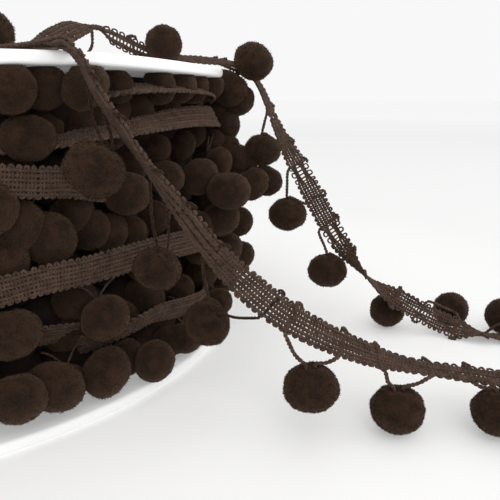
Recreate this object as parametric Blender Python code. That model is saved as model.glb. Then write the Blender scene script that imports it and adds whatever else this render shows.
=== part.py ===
"""Pompom fringe trim wound on a two-flange reel, with its loose length draped over the top.

The reel stands on its lower flange with its axis on Z. The wound trim fills the space between
the flanges as one lumpy roll. The loose length leaves the roll at the back, crosses the upper
flange, hangs down in front, turns on the floor in a wide loop and climbs back on to the flange.
Sizes are in millimetres and are scaled to metres when a mesh is made.
"""

import math
import random

import bmesh
import bpy
from mathutils import Vector

MM = 0.001

# Reel
FLANGE_RADIUS = 100.0
FLANGE_THICK = 2.6
REEL_HEIGHT = 78.0
FLANGE_EDGE = 0.6
FLANGE_SIDES = 56
GAP = 0.3

# Trim
POMPOM_WIDE = 12.0
POMPOM_TALL = 10.4
HEADER_WIDE = 6.6
HEADER_THICK = 1.0
EDGE_CORD = 0.9
CORD_GAP = 0.6
POMPOM_PITCH = 20.5
LEG_SPREAD = 11.5
LEG_LENGTH = 7.0
LEG_RADIUS = 0.45
ROUTE_STEP = 5.0
FIRST_POMPOM = 8.0
LAST_POMPOM = 51.0
RIM_POMPOM = 11

# Roll of wound turns
ROLL_COLUMNS = 132
ROLL_STEPS = 20
ROLL_CORE = 89.0
ROLL_SEED = 7
ROLL_TOP_MARGIN = 6.9
POMPOM_REACH = 6.0
ROLL_LIMIT = 102.6

# Rows of pompoms on the roll: height, pompoms in the row, tip, and azimuth of the tip in degrees.
POMPOM_ROWS = (
    (68.3, 66, 0.6, 40),
    (58.0, 60, 2.2, 150),
    (46.0, 64, 2.5, 20),
    (34.5, 62, 2.2, 250),
    (21.5, 64, 2.4, 100),
    (9.6, 66, 0.7, 200),
)

# Turns of header that show between the pompoms: height, tip, azimuth of the tip, and radius.
HEADER_BANDS = (
    (62.5, 3.4, 105, 97.4),
    (52.0, 2.6, 20, 96.8),
    (30.5, 3.0, 50, 98.2),
    (15.5, 2.8, 35, 96.6),
)

# The loose length: x, y, z of the header's middle, and the x, y, z way to its pompom edge.
ROUTE = (
    (-75.5, 71.0, 50.0, 0.7, 0.7, 0.0),
    (-76.5, 72.0, 64.0, 0.7, 0.7, 0.0),
    (-77.0, 71.5, 76.5, 0.7, 0.7, 0.0),
    (-72.5, 66.5, 82.2, 0.7, 0.7, 0.0),
    (-62, 54.0, 80.2, 0.7, 0.7, 0.0),
    (-44, 31.0, 79.2, 0.7, 0.6, 0.0),
    (-18, 0.0, 79.2, 0.7, 0.7, 0.0),
    (12, -31.0, 79.2, 0.7, 0.7, 0.0),
    (40, -56.0, 79.3, 0.4, 0.9, 0.0),
    (57.5, -62.0, 79.5, 0.0, 1.0, 0.0),
    (71.4, -69.0, 81.0, -0.35, 0.95, 0.0),
    (77.4, -75.2, 77.2, -0.35, 0.95, -0.1),
    (80.2, -75.4, 71.4, -0.35, 0.9, -0.15),
    (83.8, -74.6, 65.2, -0.4, 0.9, -0.2),
    (88.6, -73.6, 57.6, -0.4, 0.8, -0.35),
    (95.3, -73.4, 48.1, -0.35, 0.6, -0.7),
    (103.0, -73.5, 37.8, -0.2, 0.3, -0.9),
    (112.0, -73.3, 29.3, 0.0, -0.2, -1.0),
    (121.0, -72.3, 23.3, 0.0, -0.55, -0.85),
    (131.0, -70.6, 18.2, 0.0, -0.8, -0.6),
    (143.0, -68.4, 13.8, 0.0, -0.95, -0.35),
    (160.0, -68.0, 10.9, 0.0, -0.95, -0.3),
    (178.0, -68.8, 8.2, 0.1, -0.95, -0.25),
    (193.8, -64.3, 4.6, 0.5, -0.85, -0.2),
    (204.5, -52.0, 2.2, 1.0, -0.3, -0.1),
    (206.0, -38.5, 1.1, 1.0, 0.4, 0.0),
    (198.5, -26.5, 1.1, 0.5, 0.9, 0.0),
    (184.0, -22.0, 1.2, 0.1, 1.0, 0.0),
    (176.5, -20.6, 2.0, 0.1, 1.0, 0.35),
    (167.0, -18.0, 4.0, 0.25, 0.4, 0.9),
    (154.0, -15.5, 10.4, 0.2, 0.5, 0.8),
    (143.5, -12.0, 17.0, -0.1, 1.0, 0.0),
    (134.0, -7.0, 29.0, -0.8, 0.2, -0.3),
    (125.5, -1.5, 44.0, -0.85, -0.1, -0.5),
    (117.0, 4.0, 60.0, -0.6, -0.75, -0.2),
    (110.5, 4.5, 74.0, -0.2, -1.0, -0.1),
    (104.0, 4.0, 82.0, -0.1, -1.0, 0.0),
    (94.0, 2.5, 80.6, 0.0, -1.0, 0.0),
    (85.5, 1.0, 81.0, 0.0, -1.0, -0.1),
    (77.5, -2.5, 83.4, 0.1, -0.9, -0.3),
    (69.5, -9.0, 86.3, 0.5, -0.5, -0.7),
    (63.5, -20.0, 87.6, 0.8, -0.2, -0.5),
    (61.0, -33.0, 84.0, 1.0, 0.0, -0.2),
    (59.5, -45.0, 80.0, 1.0, 0.0, 0.0),
)

# Stretches of the loose fringe, each with its own edge cord and an equal share of pompoms.
FRINGE_RUNS = ("back", "top", "front", "floor", "loop", "rise", "rim")

BROWN = (0.020, 0.011, 0.008, 1.0)
DARK_BROWN = (0.015, 0.008, 0.006, 1.0)
WHITE = (0.85, 0.85, 0.84, 1.0)


def clear_scene():
    for obj in list(bpy.data.objects):
        bpy.data.objects.remove(obj, do_unlink=True)


def material(name, colour, roughness):
    made = bpy.data.materials.new(name)
    made.use_nodes = True
    shader = made.node_tree.nodes["Principled BSDF"]
    shader.inputs["Base Color"].default_value = colour
    shader.inputs["Roughness"].default_value = roughness
    return made


def add_mesh(name, points, faces, finish):
    """One object from points in millimetres."""
    mesh = bpy.data.meshes.new(name)
    mesh.from_pydata([tuple(c * MM for c in p) for p in points], [], faces)
    mesh.validate()
    work = bmesh.new()
    work.from_mesh(mesh)
    bmesh.ops.recalc_face_normals(work, faces=work.faces)
    work.to_mesh(mesh)
    work.free()
    mesh.materials.append(finish)
    mesh.shade_smooth()
    mesh.set_sharp_from_angle(angle=math.radians(40))
    obj = bpy.data.objects.new(name, mesh)
    bpy.context.scene.collection.objects.link(obj)
    return obj


def wave(azimuth, tip, tip_azimuth_deg):
    """The rise and fall of a turn that was wound a little askew."""
    return tip * math.sin(azimuth - math.radians(tip_azimuth_deg))


# ---------------------------------------------------------------- reel


def flange(name, low, finish):
    """A flat disc with softened rims, turned about Z."""
    r, e, t = FLANGE_RADIUS, FLANGE_EDGE, FLANGE_THICK
    profile = ((r - e, 0), (r, e), (r, t - e), (r - e, t))
    points, faces = [(0, 0, low), (0, 0, low + t)], []
    for k in range(FLANGE_SIDES):
        turn = 2 * math.pi * k / FLANGE_SIDES
        points += [(x * math.cos(turn), x * math.sin(turn), low + z) for x, z in profile]
    rings = len(profile)
    for k in range(FLANGE_SIDES):
        a = 2 + rings * k
        b = 2 + rings * ((k + 1) % FLANGE_SIDES)
        faces += [(a + i, b + i, b + i + 1, a + i + 1) for i in range(rings - 1)]
        faces += [(0, b, a), (1, a + rings - 1, b + rings - 1)]
    return add_mesh(name, points, faces, finish)


# ---------------------------------------------------------------- roll


def roll_pompoms():
    """(azimuth, height, radius) of each pompom that shows on the roll."""
    draw = random.Random(ROLL_SEED)
    low = FLANGE_THICK + ROLL_TOP_MARGIN
    high = REEL_HEIGHT - FLANGE_THICK - ROLL_TOP_MARGIN
    found = []
    for row, (height, count, tip, tip_azimuth) in enumerate(POMPOM_ROWS):
        for k in range(count):
            azimuth = 2 * math.pi * (k + 0.5 * (row % 2) + draw.uniform(-0.22, 0.22)) / count
            z = height + wave(azimuth, tip, tip_azimuth) + draw.uniform(-1.6, 1.6)
            z = min(max(z, low), high)
            deep = 3.6 * (k % 2) + draw.uniform(-1.0, 1.6)
            found.append((azimuth, z, 95.6 - deep))
    return found


def roll_radius(azimuth, z, pompoms):
    """How far the roll reaches at one azimuth and height."""
    reach = ROLL_CORE
    for height, tip, tip_azimuth, radius in HEADER_BANDS:
        if abs(z - height - wave(azimuth, tip, tip_azimuth)) < HEADER_WIDE / 2:
            reach = max(reach, radius)
    for at, height, radius in pompoms:
        turn = (azimuth - at + math.pi) % (2 * math.pi) - math.pi
        if abs(turn) > 0.1:
            continue
        spare = POMPOM_REACH**2 - (radius * math.sin(turn)) ** 2 - (z - height) ** 2
        if spare > 0:
            reach = max(reach, radius * math.cos(turn) + math.sqrt(spare))
    return min(reach, ROLL_LIMIT)


def roll(finish):
    """The wound turns as one solid: a lumpy ring of pompoms with turns of header between them."""
    pompoms = roll_pompoms()
    low = FLANGE_THICK + GAP
    high = REEL_HEIGHT - FLANGE_THICK - GAP
    points, faces = [(0, 0, low), (0, 0, high)], []
    for row in range(ROLL_STEPS + 1):
        z = low + (high - low) * row / ROLL_STEPS
        for column in range(ROLL_COLUMNS):
            azimuth = 2 * math.pi * (column + 0.5 * (row % 2)) / ROLL_COLUMNS
            r = roll_radius(azimuth, z, pompoms)
            points.append((r * math.cos(azimuth), r * math.sin(azimuth), z))
    last = 2 + ROLL_STEPS * ROLL_COLUMNS
    for column in range(ROLL_COLUMNS):
        after = (column + 1) % ROLL_COLUMNS
        faces += [(0, 2 + after, 2 + column), (1, last + column, last + after)]
        for row in range(ROLL_STEPS):
            a = 2 + row * ROLL_COLUMNS
            b = a + ROLL_COLUMNS
            if row % 2 == 0:
                faces += [(a + column, a + after, b + column), (a + after, b + after, b + column)]
            else:
                faces += [(a + column, a + after, b + after), (a + column, b + after, b + column)]
    return add_mesh("roll", points, faces, finish)


# ---------------------------------------------------------------- loose length


def smooth(before, start, end, after, t):
    """Catmull-Rom curve from start to end."""
    return 0.5 * (
        2 * start
        + (end - before) * t
        + (2 * before - 5 * start + 4 * end - after) * t * t
        + (3 * start - before - 3 * end + after) * t**3
    )


def route_sections():
    """Points every ROUTE_STEP along the header: its middle, and the unit way to its pompom edge."""
    middles = [Vector(row[:3]) for row in ROUTE]
    drops = [Vector(row[3:]).normalized() for row in ROUTE]
    fine = []
    for k in range(len(ROUTE) - 1):
        ids = (max(k - 1, 0), k, k + 1, min(k + 2, len(ROUTE) - 1))
        for step in range(20):
            t = step / 20
            fine.append(
                (smooth(*(middles[i] for i in ids), t), smooth(*(drops[i] for i in ids), t))
            )
    fine.append((middles[-1], drops[-1]))
    travelled = [0.0]
    for a, b in zip(fine, fine[1:]):
        travelled.append(travelled[-1] + (b[0] - a[0]).length)
    count = round(travelled[-1] / ROUTE_STEP)
    sections = []
    for k in range(count + 1):
        want = travelled[-1] * k / count
        i = max(j for j, s in enumerate(travelled[:-1]) if s <= want + 1e-9)
        t = (want - travelled[i]) / (travelled[i + 1] - travelled[i])
        sections.append((fine[i][0].lerp(fine[i + 1][0], t), fine[i][1].lerp(fine[i + 1][1], t)))
    squared = []
    for k, (middle, drop) in enumerate(sections):
        along = (sections[min(k + 1, count)][0] - sections[max(k - 1, 0)][0]).normalized()
        squared.append((middle, along, (drop - drop.dot(along) * along).normalized()))
    return squared, travelled[-1]


def ribbon(name, sections, wide, thick, offset, finish):
    """A closed strap of that width and thickness, offset towards the pompom edge."""
    points, faces = [], []
    for middle, along, drop in sections:
        face = along.cross(drop).normalized()
        at = middle + drop * offset
        for across, out in ((-1, -1), (1, -1), (1, 1), (-1, 1)):
            points.append(at + drop * (across * wide / 2) + face * (out * thick / 2))
    for k in range(len(sections) - 1):
        a, b = 4 * k, 4 * k + 4
        faces += [(a + i, a + (i + 1) % 4, b + (i + 1) % 4, b + i) for i in range(4)]
    end = 4 * (len(sections) - 1)
    faces += [(3, 2, 1, 0), (end, end + 1, end + 2, end + 3)]
    return add_mesh(name, points, faces, finish)


def section_at(sections, length, distance):
    """Middle, direction and drop at a distance along the header."""
    share = min(max(distance / length, 0), 1) * (len(sections) - 1)
    k = min(int(share), len(sections) - 2)
    t = share - k
    return [a.lerp(b, t) for a, b in zip(sections[k], sections[k + 1])]


def settled(centre, half):
    """Keeps a pompom above what it lies on and outside the roll."""
    radius = math.hypot(centre.x, centre.y)
    clear = FLANGE_RADIUS + half + 1.5
    if centre.z > REEL_HEIGHT and radius < clear:
        return Vector((centre.x, centre.y, max(centre.z, REEL_HEIGHT + half + GAP)))
    beside = max(radius, ROLL_LIMIT + POMPOM_WIDE / 2 + 1.0) / radius
    return Vector((centre.x * beside, centre.y * beside, max(centre.z, half)))


def header_distance(point, sections, reach):
    """How far a point is from the header, with its pompom edge moved out by reach."""
    nearest = 1000.0
    for middle, _, drop in sections:
        if (point - middle).length < 30:
            across = (point - middle).dot(drop)
            across = min(max(across, -HEADER_WIDE / 2), HEADER_WIDE / 2 + reach)
            nearest = min(nearest, (point - middle - drop * across).length)
    return nearest


def faults(centre, roots, sections):
    """How badly a pompom and its two legs foul the header and the upper flange."""
    bad = max(0.0, POMPOM_WIDE / 2 + 0.9 - header_distance(centre, sections, CORD_GAP + EDGE_CORD))
    for root in roots:
        for share in (0.15, 0.3, 0.45, 0.6, 0.75):
            at = root.lerp(centre, share)
            need = LEG_RADIUS + HEADER_THICK / 2 + GAP * (1.0 if share > 0.2 else 0.0)
            bad += max(0.0, need - header_distance(at, sections, 0.0))
            if math.hypot(at.x, at.y) < FLANGE_RADIUS + 0.9:
                bad += max(0.0, 3.0 - abs(at.z - REEL_HEIGHT + FLANGE_THICK / 2))
    return bad


def hanging_pompom(sections, length, distance):
    """Centre, short axis and leg roots of the pompom hanging about this distance along."""
    middle, along, drop = section_at(sections, length, distance)
    offset = HEADER_WIDE / 2 + CORD_GAP + EDGE_CORD / 2
    roots = []
    for hand in (-1, 1):
        at, _, out = section_at(sections, length, distance + hand * LEG_SPREAD / 2)
        roots.append(at + out * offset)
    spot = middle + drop * 12.0
    lies = middle.z < 4.5 or (middle.z > REEL_HEIGHT and math.hypot(spot.x, spot.y) < 96)
    fall = math.sqrt(LEG_LENGTH**2 - (LEG_SPREAD / 2) ** 2) + POMPOM_TALL / 2
    slope = Vector((0, 0, -LEG_SPREAD / 2 * abs(along.z)))
    face = along.cross(drop)
    flat = Vector((drop.x, drop.y, 0.0))
    ways = [flat + along * side for side in (0.0, 0.2, -0.2, 0.4, -0.4)] if lies else []
    for lean in (0.0, 0.3, 0.6, 1.0, 1.6, 3.0):
        for side in (0.0, 0.4, -0.4, 0.8, -0.8, 1.3, -1.3):
            ways.append(drop * (along.z**2 + lean) + Vector((0, 0, -1)) + face * side)
    ways += [drop * 2.0 + Vector((0, 0, -0.4)) + along * side for side in (0.5, -0.5, 1.2, -1.2)]
    best = None
    for way in ways:
        way.normalize()
        if way.z > 0.3:
            continue
        half = math.hypot(POMPOM_TALL * way.z, POMPOM_WIDE * math.hypot(way.x, way.y)) / 2
        centre = settled(middle + drop * offset + way * fall + slope, half)
        bad = faults(centre, roots, sections)
        if best is None or bad < best[0] - 0.01:
            best = (bad, centre, way, roots)
    return best[1:]


def ball(centre, axis):
    """A flattened ball of eight sides and five rings about its short axis."""
    side = axis.orthogonal().normalized()
    other = axis.cross(side)
    points, faces, rings, count = [], [], 4, 8
    points.append(centre - axis * (POMPOM_TALL / 2))
    for ring in range(1, rings + 1):
        tilt = math.pi * ring / (rings + 1)
        for k in range(count):
            turn = 2 * math.pi * (k + 0.5 * (ring % 2)) / count
            out = side * math.cos(turn) + other * math.sin(turn)
            points.append(
                centre
                + out * (math.sin(tilt) * POMPOM_WIDE / 2)
                - axis * (math.cos(tilt) * POMPOM_TALL / 2)
            )
    points.append(centre + axis * (POMPOM_TALL / 2))
    for k in range(count):
        after = (k + 1) % count
        faces.append((0, 1 + k, 1 + after))
        faces.append((len(points) - 1, 1 + (rings - 1) * count + after, 1 + (rings - 1) * count + k))
        for ring in range(rings - 1):
            a, b = 1 + ring * count, 1 + (ring + 1) * count
            if ring % 2 == 0:
                faces += [(a + k, b + k, a + after), (a + after, b + k, b + after)]
            else:
                faces += [(a + k, b + k, b + after), (a + k, b + after, a + after)]
    return points, faces


def leg(start, end):
    """A three-sided strand from the edge cord into the pompom."""
    way = (end - start).normalized()
    side = way.orthogonal().normalized()
    other = way.cross(side)
    points = []
    for at in (start, end):
        for k in range(3):
            turn = 2 * math.pi * k / 3
            points.append(at + (side * math.cos(turn) + other * math.sin(turn)) * LEG_RADIUS)
    return points, [(2, 1, 0), (3, 4, 5), (0, 1, 4, 3), (1, 2, 5, 4), (2, 0, 3, 5)]


def fringe_run(name, sections, length, stops, finish):
    """One stretch of edge cord with its pompoms, fused into a single solid."""
    first, last = stops[0] - LEG_SPREAD / 2 - 1.5, stops[-1] + LEG_SPREAD / 2 + 1.5
    step = length / (len(sections) - 1)
    inside = [s for k, s in enumerate(sections) if first + 1 < k * step < last - 1]
    cord = [section_at(sections, length, first), *inside, section_at(sections, length, last)]
    offset = HEADER_WIDE / 2 + CORD_GAP + EDGE_CORD / 2
    run = ribbon(name, cord, EDGE_CORD, EDGE_CORD, offset, finish)
    for number, stop in enumerate(stops):
        centre, way, roots = hanging_pompom(sections, length, stop)
        pieces = [("ball", *ball(centre, way))]
        pieces += [("leg", *leg(root, centre - way * 2.0)) for root in roots]
        for kind, points, faces in pieces:
            helper = add_mesh(f"{name}_{kind}_{number}", points, faces, finish)
            helper.hide_render = True
            helper.display_type = "WIRE"
            fuse = run.modifiers.new(helper.name, "BOOLEAN")
            fuse.operation = "UNION"
            fuse.object = helper
    return run


def main():
    clear_scene()
    plastic = material("reel_white", WHITE, 0.35)
    pile = material("pompom_pile", BROWN, 0.95)
    braid = material("header_braid", DARK_BROWN, 0.8)
    flange("flange_bottom", 0.0, plastic)
    flange("flange_top", REEL_HEIGHT - FLANGE_THICK, plastic)
    roll(pile)
    sections, length = route_sections()
    ribbon("header_loose", sections, HEADER_WIDE, HEADER_THICK, 0.0, braid)
    count = int((length - FIRST_POMPOM - LAST_POMPOM) / POMPOM_PITCH) + 1
    stops = [FIRST_POMPOM + POMPOM_PITCH * k for k in range(count)]
    del stops[RIM_POMPOM]
    share = len(stops) / len(FRINGE_RUNS)
    for k, run in enumerate(FRINGE_RUNS):
        mine = stops[round(k * share) : round((k + 1) * share)]
        fringe_run(f"fringe_{run}", sections, length, mine, pile)
    print(f"loose length {length:.0f} mm with {len(stops)} pompoms")


main()
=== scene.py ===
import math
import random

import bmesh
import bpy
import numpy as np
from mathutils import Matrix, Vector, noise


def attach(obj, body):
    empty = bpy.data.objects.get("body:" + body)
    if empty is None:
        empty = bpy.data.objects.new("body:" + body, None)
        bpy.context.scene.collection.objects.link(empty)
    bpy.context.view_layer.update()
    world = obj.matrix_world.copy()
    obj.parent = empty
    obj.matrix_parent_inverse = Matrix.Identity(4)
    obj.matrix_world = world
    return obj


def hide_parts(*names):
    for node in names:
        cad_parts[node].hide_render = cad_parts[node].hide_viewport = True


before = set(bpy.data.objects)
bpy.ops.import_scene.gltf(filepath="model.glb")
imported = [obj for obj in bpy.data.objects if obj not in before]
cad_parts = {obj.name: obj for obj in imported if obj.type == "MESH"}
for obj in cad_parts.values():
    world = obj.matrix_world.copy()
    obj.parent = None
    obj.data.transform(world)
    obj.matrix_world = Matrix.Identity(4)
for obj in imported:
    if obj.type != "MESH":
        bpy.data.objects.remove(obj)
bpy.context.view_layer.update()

# Looks of the pompom fringe trim on its reel.
#
# Sizes are in millimetres and become metres in Batch.build. Azimuths are in degrees about the
# reel's axis, from +X towards +Y. The reel's two flanges, the wound turns and the loose length
# each replace their CAD nodes. Yarns are tubes, and pompoms are lumpy balls with a pile of short
# fibres.

MM = 0.001
UP = np.array((0.0, 0.0, 1.0))
rng = np.random.default_rng(11)  # its draws come in a fixed order

# ---------------------------------------------------------------- measures shared with the solids

FLANGE_RADIUS = 100.0
FLANGE_THICK = 2.6
REEL_HEIGHT = 78.0
CEILING = REEL_HEIGHT - FLANGE_THICK  # the upper flange's underside
POMPOM_FLAT = 0.86  # a pompom's thickness along its cord, as a share of its width

# ---------------------------------------------------------------- the loose length

# The header's route from the roll's back to the end of the arch: x, y, z of its middle, and the
# way across it to the edge that the pompoms hang from.
ROUTE = (
    (-75.5, 71.0, 50.0, 0.7, 0.7, 0.0),
    (-76.5, 72.0, 64.0, 0.7, 0.7, 0.0),
    (-77.0, 71.5, 76.5, 0.7, 0.7, 0.0),
    (-72.5, 66.5, 82.2, 0.7, 0.7, 0.0),
    (-62.0, 54.0, 80.2, 0.7, 0.7, 0.0),
    (-44.0, 31.0, 79.2, 0.7, 0.6, 0.0),
    (-18.0, 0.0, 79.2, 0.7, 0.7, 0.0),
    (12.0, -31.0, 79.2, 0.7, 0.7, 0.0),
    (40.0, -56.0, 79.3, 0.4, 0.9, 0.0),
    (57.5, -62.0, 79.5, 0.0, 1.0, 0.0),
    (71.0, -68.6, 79.7, -0.35, 0.95, 0.0),
    (77.4, -75.2, 77.2, -0.35, 0.95, -0.1),
    (80.2, -75.4, 71.4, -0.35, 0.9, -0.15),
    (83.8, -74.6, 65.2, -0.4, 0.9, -0.2),
    (88.6, -73.6, 57.6, -0.3, 0.93, -0.2),
    (95.3, -73.4, 48.1, -0.35, 0.6, -0.7),
    (103.0, -73.5, 37.8, -0.2, 0.3, -0.9),
    (112.0, -73.3, 29.3, 0.0, -0.2, -1.0),
    (121.0, -72.3, 23.3, 0.0, -0.55, -0.85),
    (131.0, -70.6, 18.2, 0.0, -0.8, -0.6),
    (143.0, -68.4, 13.8, 0.0, -1.0, -0.15),
    (160.0, -68.0, 10.9, 0.0, -1.0, -0.22),
    (178.0, -68.8, 8.2, 0.1, -1.0, -0.2),
    (193.8, -64.3, 4.6, 0.5, -0.85, -0.2),
    (204.5, -52.0, 2.2, 1.0, -0.3, -0.1),
    (206.0, -38.5, 1.1, 1.0, 0.4, 0.0),
    (198.5, -26.5, 1.1, 0.5, 0.9, 0.0),
    (184.0, -22.0, 1.2, 0.1, 1.0, 0.0),
    (176.5, -20.6, 2.0, 0.15, 1.0, -0.2),
    (167.0, -18.0, 4.0, 0.25, 0.4, 0.9),
    (154.0, -15.5, 10.4, 0.2, 0.5, 0.8),
    (143.5, -12.0, 17.0, -0.1, 1.0, 0.0),
    (134.0, -7.0, 29.0, -0.8, 0.2, -0.3),
    (125.5, -1.5, 44.0, -0.85, -0.1, -0.5),
    (117.0, 4.0, 60.0, -0.45, -0.85, -0.2),
    (110.5, 4.5, 74.0, -0.2, -1.0, -0.1),
    (104.0, 4.0, 79.2, -0.1, -1.0, -0.2),
    (94.0, 2.5, 80.7, 0.0, -1.0, -0.35),
    (85.5, 1.0, 81.2, 0.0, -1.0, -0.4),
    (77.5, -2.5, 82.6, 0.1, -0.6, -0.8),
    (69.5, -9.0, 86.3, 0.35, -0.35, -0.87),
    (65.3, -14.0, 88.5, 1.0, -0.3, -0.05),
    (62.9, -20.5, 87.6, 0.9, -0.15, -0.5),
    (61.0, -33.0, 84.0, 0.8, 0.0, -0.5),
    (59.5, -45.0, 80.0, 1.0, 0.0, 0.0),
)

# Loose pompoms: distance along the header, half the spread of the legs, x, y, z of the middle,
# width, and the way away from the header.
LOOSE = (
    (8.0, 5.7, -71.6, 83.0, 46.0, 12.0, 0.50, 0.50, -0.71),
    (28.5, 5.7, -75.1, 82.5, 71.4, 11.6, -0.21, 0.95, -0.23),
    (49.0, 5.7, -53.7, 65.3, 84.0, 12.2, 0.77, 0.63, 0.0),
    (69.5, 5.7, -40.9, 48.9, 83.7, 11.7, 0.79, 0.61, 0.0),
    (90.0, 5.7, -28.3, 33.1, 83.9, 12.0, 0.78, 0.63, 0.0),
    (110.5, 5.7, -15.4, 17.6, 84.0, 12.3, 0.76, 0.65, 0.0),
    (131.0, 5.7, -2.1, 2.7, 83.8, 11.8, 0.73, 0.68, 0.0),
    (151.5, 5.7, 11.8, -11.7, 84.0, 12.0, 0.71, 0.70, 0.0),
    (172.0, 5.7, 26.2, -25.9, 83.9, 11.9, 0.69, 0.72, 0.0),
    (192.5, 5.7, 40.1, -38.3, 84.1, 12.0, 0.65, 0.76, 0.0),
    (213.0, 5.7, 49.3, -45.2, 83.5, 12.2, 0.40, 0.90, 0.0),
    (254.0, 4.0, 79.0, -75.5, 56.8, 12.2, -0.45, -0.05, -0.90),
    (275.0, 4.5, 88.6, -67.3, 35.2, 10.4, -0.30, 0.25, -0.92),
    (298.0, 8.0, 98.5, -61.5, 21.0, 10.8, -0.45, 0.45, -0.75),
    (317.5, 6.2, 120.7, -73.8, 11.4, 12.0, 0.05, 0.02, -1.0),
    (338.8, 6.0, 139.3, -72.2, 5.6, 11.8, 0.0, 0.05, -1.0),
    (359.5, 5.6, 160.4, -73.6, 5.7, 11.8, -0.04, -0.10, -1.0),
    (377.5, 5.7, 181.4, -80.9, 6.0, 12.0, 0.32, -0.92, -0.23),
    (397.5, 5.7, 207.2, -69.1, 6.0, 12.0, 0.89, -0.38, 0.24),
    (418.0, 5.7, 219.6, -46.6, 6.0, 11.8, 0.99, -0.10, 0.0),
    (436.0, 5.7, 207.8, -18.4, 6.1, 12.2, 0.61, 0.79, 0.0),
    (455.0, 5.7, 185.0, -15.0, 5.6, 11.4, 0.20, 0.98, 0.0),
    (474.5, 5.7, 170.6, -9.5, 5.7, 11.0, 0.20, 0.95, -0.20),
    (494.0, 5.7, 150.8, -9.5, 5.4, 11.0, 0.05, 0.60, -0.80),
    (513.5, 5.8, 132.2, -6.2, 17.4, 12.6, 0.0, 0.0, -1.0),
    (534.0, 6.0, 119.8, -0.5, 34.2, 12.4, 0.0, 0.0, -1.0),
    (554.0, 6.0, 111.8, 1.5, 54.0, 11.8, -0.05, 0.0, -1.0),
    (573.0, 3.0, 101.4, 1.0, 72.4, 12.8, -0.55, -0.10, -0.83),
    (581.5, 1.3, 109.0, -1.5, 80.2, 12.2, 0.30, -0.65, 0.70),
    (602.5, 5.7, 83.5, -7.5, 84.6, 10.8, 0.0, -1.0, 0.1),
)
# Where the loose weave has slipped open: distance along, half the length, and how far it opened.
OPEN_WEAVE = (
    (352.0, 15.0, 0.35), (471.0, 1.6, 0.5), (480.0, 2.4, 0.45), (515.8, 2.6, 0.75),
    (537.2, 3.0, 0.8), (557.0, 1.4, 0.8), (612.0, 9.0, 0.72),
)
# Stretches and places on the loose length, by distance along.
RIBBED = (236.0, 292.0)
CLOSE_TO_CAMERA = (250.0, 365.0)
# Drop cords in this stretch take the darker pile colour instead of the cord colour, which is
# painted shade.
SHADED_LEGS = (250.0, 300.0)
FACE_TURNS_AT = 440.0
STRAIGHT_LEGS_FROM = 500.0
LONE_DROP_AT = 626.0  # the last drop cord, which has lost its pompom
# Radii of the drop cords, and the length of one twist.
LEG_RADIUS, SHADED_LEG_RADIUS, LONE_LEG_RADIUS = 0.48, 0.36, 0.46
LEG_TWIST, LONE_LEG_TWIST = 1.9, 1.8


# ---------------------------------------------------------------- mesh building

PINCHED_END = 0.3  # a yarn's radius at its ends, as a share of its radius
STEPS_A_TWIST = 5
# A ply's distance from the cord's middle and its radius, as shares of the cord's radius.
PLY_APART, PLY_RADIUS = 0.48, 0.62
STRIP_STEP = 0.5


class Batch:
    """Points and faces of many small things, for one mesh. What meets the floor is flattened."""

    def __init__(self):
        self.points, self.faces, self.count = [], [], 0

    def add(self, points, faces):
        """Points are an (n, 3) array; faces are an (m, 3) or (m, 4) array of indices."""
        self.points.append(np.asarray(points, float))
        self.faces.append(np.asarray(faces, int) + self.count)
        self.count += len(points)

    def build(self, name, finish):
        """One smooth-shaded mesh object in metres."""
        points = np.concatenate(self.points) * MM
        points[:, 2] = points[:, 2].clip(0.0)
        sizes = np.concatenate([np.full(len(f), f.shape[1]) for f in self.faces])
        corners = np.concatenate([f.ravel() for f in self.faces])
        mesh = bpy.data.meshes.new(name)
        mesh.vertices.add(len(points))
        mesh.vertices.foreach_set("co", points.astype(np.float32).ravel())
        mesh.loops.add(len(corners))
        mesh.loops.foreach_set("vertex_index", corners.astype(np.int32))
        mesh.polygons.add(len(sizes))
        starts = np.concatenate([[0], np.cumsum(sizes)[:-1]])
        mesh.polygons.foreach_set("loop_start", starts.astype(np.int32))
        mesh.update(calc_edges=True)
        mesh.validate()
        mesh.shade_smooth()
        mesh.materials.append(finish)
        obj = bpy.data.objects.new(name, mesh)
        bpy.context.scene.collection.objects.link(obj)
        return obj


def unit(v):
    """Vectors of length 1."""
    v = np.asarray(v, float)
    return v / np.maximum(np.linalg.norm(v, axis=-1, keepdims=True), 1e-9)


def carried_frame(path):
    """Two directions across each point of a path, which don't spin about it."""
    along = unit(np.gradient(path, axis=0))
    side = np.zeros((len(path), 3))
    first = np.cross(along[0], (0.0, 0.0, 1.0))
    if np.linalg.norm(first) < 0.2:
        first = np.cross(along[0], (0.0, 1.0, 0.0))
    side[0] = unit(first)
    for k in range(1, len(path)):
        s = side[k - 1] - along[k] * np.dot(side[k - 1], along[k])
        side[k] = s / max(np.linalg.norm(s), 1e-9)
    return side, np.cross(along, side)


def tube(batch, path, radius, sides):
    """A yarn along a path, with pinched ends. The radius is one number or one for each point."""
    path = np.asarray(path, float)
    n = len(path)
    side, other = carried_frame(path)
    r = np.array(np.broadcast_to(radius, n), float)
    r[[0, -1]] *= PINCHED_END
    angles = 2 * np.pi * np.arange(sides) / sides
    ring = (
        path[:, None, :]
        + r[:, None, None] * (np.cos(angles)[None, :, None] * side[:, None, :]
                              + np.sin(angles)[None, :, None] * other[:, None, :])
    )
    k = np.arange(n - 1)[:, None] * sides
    a = np.arange(sides)[None, :]
    b = (a + 1) % sides
    faces = np.stack([k + a, k + b, k + sides + b, k + sides + a], axis=-1).reshape(-1, 4)
    batch.add(ring.reshape(-1, 3), faces)


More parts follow.
